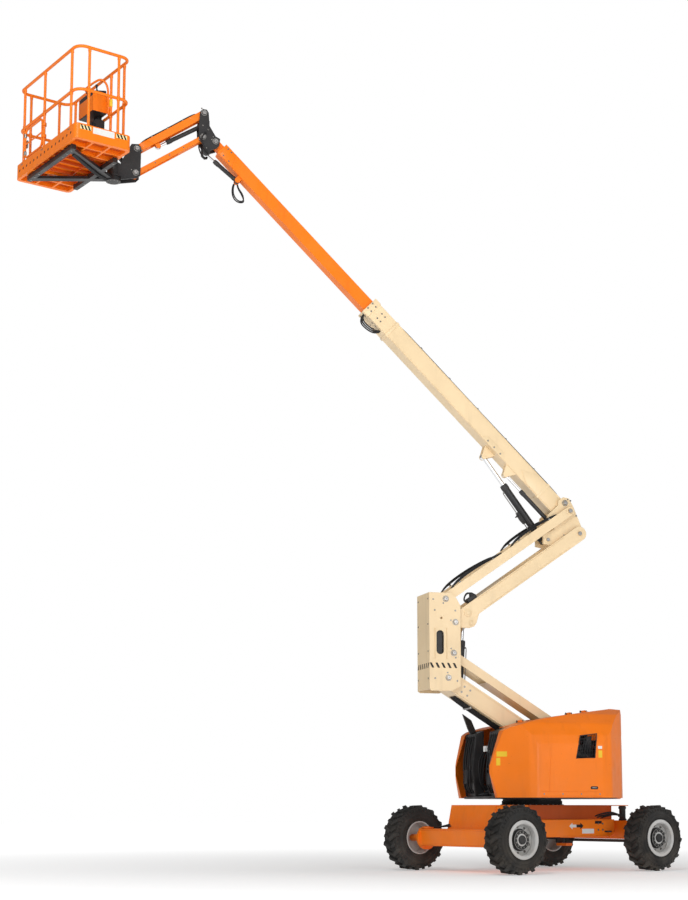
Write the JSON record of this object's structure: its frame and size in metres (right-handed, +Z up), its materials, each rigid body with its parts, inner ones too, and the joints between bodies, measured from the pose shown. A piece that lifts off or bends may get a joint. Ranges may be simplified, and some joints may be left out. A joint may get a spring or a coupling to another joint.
{
  "type": "articulating_boom_lift",
  "caption": "Articulating boom lift: four-wheel chassis, slewing turntable, twin-parallelogram tower, telescopic boom, levelled jib and rotating platform",
  "frame": {"origin": "on the ground under the slewing axis, midway between the wheels", "axes": "+Z up, +X towards the fixed axle, +Y to the left of that; millimetres in the source, metres here"},
  "size_m": [7.8232, 3.9429, 10.0239],
  "materials": {
    "orange_paint": "gloss orange paint, slightly dusty",
    "cream_paint": "semi-gloss cream paint",
    "black_paint": "satin black paint",
    "grey_casting": "dark cast and machined metal",
    "chrome_rod": "hard chrome",
    "tyre_rubber": "worn black tyre rubber",
    "white_rim_paint": "white rim paint"
  },
  "bodies": {
    "chassis": {"chassis_frame": "orange_paint", "slewing_ring": "grey_casting", "front_axle": "orange_paint", "rear_axle": "orange_paint", "oscillation_cylinders": "black_paint"},
    "front_wheel_left": {"tyre_front_left": "tyre_rubber", "wheel_front_left": "white_rim_paint"},
    "knuckle_left": {"knuckle_left": "grey_casting"},
    "rear_wheel_left": {"tyre_rear_left": "tyre_rubber", "wheel_rear_left": "white_rim_paint"},
    "front_wheel_right": {"tyre_front_right": "tyre_rubber", "wheel_front_right": "white_rim_paint"},
    "knuckle_right": {"knuckle_right": "grey_casting"},
    "rear_wheel_right": {"tyre_rear_right": "tyre_rubber", "wheel_rear_right": "white_rim_paint"},
    "tie_rod": {"tie_rod": "grey_casting"},
    "turntable": {"turntable_frame": "black_paint", "counterweight": "orange_paint", "engine": "grey_casting", "hydraulic_tank": "grey_casting", "front_panels": "black_paint"},
    "hood_left": {"hood_left": "orange_paint"},
    "hood_right": {"hood_right": "orange_paint"},
    "lower_riser": {"lower_riser": "cream_paint"},
    "lower_riser_link": {"lower_riser_link": "cream_paint"},
    "lower_upright": {"lower_upright": "cream_paint"},
    "upper_riser": {"upper_riser": "cream_paint"},
    "upper_riser_links": {"upper_riser_link_left": "cream_paint", "upper_riser_link_right": "cream_paint"},
    "upper_upright": {"upper_upright": "cream_paint"},
    "boom_base": {"boom_base": "cream_paint"},
    "boom_fly": {"boom_fly": "orange_paint"},
    "jib_inner_bracket": {"jib_inner_bracket": "black_paint"},
    "jib_beam": {"jib_beam": "orange_paint"},
    "jib_link": {"jib_link": "orange_paint"},
    "jib_outer_bracket": {"jib_outer_bracket": "black_paint"},
    "platform": {"platform_support": "black_paint", "platform_floor": "orange_paint", "platform_rails": "orange_paint", "control_console": "black_paint"},
    "gate": {"gate": "orange_paint"},
    "tower_barrel": {"tower_cylinder_barrel": "black_paint"},
    "tower_rod": {"tower_cylinder_rod": "chrome_rod"},
    "lift_barrel": {"lift_cylinder_barrel": "black_paint"},
    "lift_rod": {"lift_cylinder_rod": "chrome_rod"},
    "level_barrel": {"level_cylinder_barrel": "black_paint"},
    "level_rod": {"level_cylinder_rod": "chrome_rod"},
    "slave_barrel": {"slave_cylinder_barrel": "black_paint"},
    "slave_rod": {"slave_cylinder_rod": "chrome_rod"},
    "jib_barrel": {"jib_cylinder_barrel": "black_paint"},
    "jib_rod": {"jib_cylinder_rod": "chrome_rod"}
  },
  "joints": [
    {"name": "front_wheel_left_spin", "type": "hinge", "parent": "chassis", "child": "front_wheel_left", "pos_m": [1.17, 1.005, 0.42], "axis": [0, 1, 0], "continuous": true},
    {"name": "steer_left", "type": "hinge", "parent": "chassis", "child": "knuckle_left", "pos_m": [-1.17, 0.74, 0.42], "axis": [0, 0, 1], "range_deg": [-30, 30]},
    {"name": "rear_wheel_left_spin", "type": "hinge", "parent": "knuckle_left", "child": "rear_wheel_left", "pos_m": [-1.17, 1.005, 0.42], "axis": [0, 1, 0], "continuous": true},
    {"name": "front_wheel_right_spin", "type": "hinge", "parent": "chassis", "child": "front_wheel_right", "pos_m": [1.17, -1.005, 0.42], "axis": [0, 1, 0], "continuous": true},
    {"name": "steer_right", "type": "hinge", "parent": "chassis", "child": "knuckle_right", "pos_m": [-1.17, -0.74, 0.42], "axis": [0, 0, 1], "range_deg": [-31, 31]},
    {"name": "rear_wheel_right_spin", "type": "hinge", "parent": "knuckle_right", "child": "rear_wheel_right", "pos_m": [-1.17, -1.005, 0.42], "axis": [0, 1, 0], "continuous": true},
    {"name": "tie_rod_slide", "type": "slide", "parent": "chassis", "child": "tie_rod", "axis": [0, 1, 0], "range_m": [-0.101, 0.101]},
    {"name": "slew", "type": "hinge", "parent": "chassis", "child": "turntable", "pos_m": [0, 0, 0.92], "axis": [0, 0, 1], "range_deg": [-157.5, 197.5]},
    {"name": "hood_left_lift", "type": "hinge", "parent": "turntable", "child": "hood_left", "pos_m": [0.31821, 0.14331, 1.91614], "axis": [0.9283, -0.3379, -0.1552], "range_deg": [0, 65]},
    {"name": "hood_right_lift", "type": "hinge", "parent": "turntable", "child": "hood_right", "pos_m": [0.15164, -0.31432, 1.91614], "axis": [-0.9283, 0.3379, 0.1552], "range_deg": [0, 65]},
    {"name": "tower_lift", "type": "hinge", "parent": "turntable", "child": "lower_riser", "pos_m": [-0.64661, 0.23535, 1.26768], "axis": [-0.342, -0.9397, 0], "range_deg": [-34, 36]},
    {"name": "lower_link_swing", "type": "hinge", "parent": "turntable", "child": "lower_riser_link", "pos_m": [-0.71521, 0.26031, 1.58768], "axis": [-0.342, -0.9397, 0], "range_deg": [-34.5, 36.5]},
    {"name": "lower_upright_level", "type": "hinge", "parent": "lower_riser", "child": "lower_upright", "pos_m": [1.14643, -0.41726, 2.46], "axis": [-0.342, -0.9397, 0], "range_deg": [-36.5, 34.5]},
    {"name": "upper_riser_lift", "type": "hinge", "parent": "lower_upright", "child": "upper_riser", "pos_m": [1.05246, -0.38306, 3.18], "axis": [-0.342, -0.9397, 0], "range_deg": [-36.5, 34.5]},
    {"name": "upper_links_swing", "type": "hinge", "parent": "lower_upright", "child": "upper_riser_links", "pos_m": [1.17462, -0.42752, 3.48], "axis": [-0.342, -0.9397, 0], "range_deg": [-36.5, 34.5]},
    {"name": "upper_upright_level", "type": "hinge", "parent": "upper_riser", "child": "upper_upright", "pos_m": [-0.6179, 0.2249, 4.42466], "axis": [-0.342, -0.9397, 0], "range_deg": [-34.5, 36.5]},
    {"name": "boom_lift", "type": "hinge", "parent": "upper_upright", "child": "boom_base", "pos_m": [-0.44876, 0.16334, 4.83966], "axis": [-0.342, -0.9397, 0], "range_deg": [-39.5, 30.5]},
    {"name": "boom_extend", "type": "slide", "parent": "boom_base", "child": "boom_fly", "axis": [0.6702, -0.2439, 0.7009], "range_m": [-2.28, 0.15]},
    {"name": "jib_level", "type": "hinge", "parent": "boom_fly", "child": "jib_inner_bracket", "pos_m": [4.03869, -1.46996, 9.39648], "axis": [-0.342, -0.9397, 0], "range_deg": [-31, 40]},
    {"name": "jib_lift", "type": "hinge", "parent": "jib_inner_bracket", "child": "jib_beam", "pos_m": [4.1834, -1.52263, 9.76948], "axis": [-0.342, -0.9397, 0], "range_deg": [-36.2, 108.8]},
    {"name": "jib_link_swing", "type": "hinge", "parent": "jib_inner_bracket", "child": "jib_link", "pos_m": [4.1928, -1.52605, 9.44448], "axis": [-0.342, -0.9397, 0], "range_deg": [-36.7, 109.3]},
    {"name": "platform_level", "type": "hinge", "parent": "jib_beam", "child": "jib_outer_bracket", "pos_m": [4.99941, -1.81964, 9.18815], "axis": [-0.342, -0.9397, 0], "range_deg": [-109.3, 36.7]},
    {"name": "platform_rotate", "type": "hinge", "parent": "jib_outer_bracket", "child": "platform", "pos_m": [5.26722, -1.91711, 8.815], "axis": [0, 0, 1], "range_deg": [-110, 70]},
    {"name": "gate_swing", "type": "hinge", "parent": "platform", "child": "gate", "pos_m": [6.20422, -1.99711, 9.215], "axis": [0, 0, -1], "range_deg": [0, 90]},
    {"name": "tower_barrel_swing", "type": "hinge", "parent": "lower_riser", "child": "tower_barrel", "pos_m": [0.93126, -0.33895, 2.31692], "axis": [-0.342, -0.9397, 0], "range_deg": [-36.97, 34.94]},
    {"name": "tower_rod_slide", "type": "slide", "parent": "tower_barrel", "child": "tower_rod", "axis": [-0.056, 0.0204, 0.9982], "range_m": [-0.23473, 0.24825]},
    {"name": "lift_barrel_swing", "type": "hinge", "parent": "upper_upright", "child": "lift_barrel", "pos_m": [-0.22752, 0.04024, 4.33466], "axis": [-0.342, -0.9397, 0], "range_deg": [-33.72, 26.15]},
    {"name": "lift_rod_slide", "type": "slide", "parent": "lift_barrel", "child": "lift_rod", "axis": [0.5627, -0.2048, 0.8009], "range_m": [-0.36919, 0.28621]},
    {"name": "level_barrel_swing", "type": "hinge", "parent": "upper_upright", "child": "level_barrel", "pos_m": [-0.24901, 0.15661, 4.58466], "axis": [-0.342, -0.9397, 0], "range_deg": [-39.12, 30.32]},
    {"name": "level_rod_slide", "type": "slide", "parent": "level_barrel", "child": "level_rod", "axis": [0.6702, -0.2439, 0.701], "range_m": [-0.21702, 0.16871]},
    {"name": "slave_barrel_swing", "type": "hinge", "parent": "boom_fly", "child": "slave_barrel", "pos_m": [3.75568, -1.36696, 8.91825], "axis": [-0.342, -0.9397, 0], "range_deg": [-1.14, 1.33]},
    {"name": "slave_rod_slide", "type": "slide", "parent": "slave_barrel", "child": "slave_rod", "axis": [0.7389, -0.2689, 0.6178], "range_m": [-0.09902, 0.12676]},
    {"name": "jib_barrel_swing", "type": "hinge", "parent": "jib_inner_bracket", "child": "jib_barrel", "pos_m": [4.1928, -1.52605, 9.62448], "axis": [-0.342, -0.9397, 0], "range_deg": [-36.59, 108.96]},
    {"name": "jib_rod_slide", "type": "slide", "parent": "jib_barrel", "child": "jib_rod", "axis": [0.8034, -0.2924, -0.5187], "range_m": [-0.0733, 0.21027]}
  ],
  "couplings": [
    {"joint": "steer_right", "follows": "steer_left", "ratio": 1},
    {"joint": "tie_rod_slide", "follows": "steer_left", "m_per_rad": -0.19},
    {"joint": "lower_link_swing", "follows": "tower_lift", "ratio": 1},
    {"joint": "lower_upright_level", "follows": "tower_lift", "ratio": -1},
    {"joint": "upper_riser_lift", "follows": "tower_lift", "ratio": -1},
    {"joint": "upper_links_swing", "follows": "tower_lift", "ratio": -1},
    {"joint": "upper_upright_level", "follows": "tower_lift", "ratio": 1},
    {"joint": "jib_level", "follows": "boom_lift", "ratio": -1},
    {"joint": "jib_link_swing", "follows": "jib_lift", "ratio": 1},
    {"joint": "platform_level", "follows": "jib_lift", "ratio": -1},
    {"joint": "tower_barrel_swing", "follows": "tower_lift", "ratio": -1.013},
    {"joint": "tower_rod_slide", "follows": "tower_lift", "m_per_rad": 0.38714},
    {"joint": "lift_barrel_swing", "follows": "boom_lift", "ratio": 0.8411},
    {"joint": "lift_rod_slide", "follows": "boom_lift", "m_per_rad": 0.52827},
    {"joint": "level_barrel_swing", "follows": "boom_lift", "ratio": 0.9776},
    {"joint": "level_rod_slide", "follows": "boom_lift", "m_per_rad": 0.30754},
    {"joint": "slave_barrel_swing", "follows": "boom_lift", "ratio": -0.0211},
    {"joint": "slave_rod_slide", "follows": "boom_lift", "m_per_rad": -0.17662},
    {"joint": "jib_barrel_swing", "follows": "jib_lift", "ratio": 0.9969},
    {"joint": "jib_rod_slide", "follows": "jib_lift", "m_per_rad": 0.1081}
  ]
}
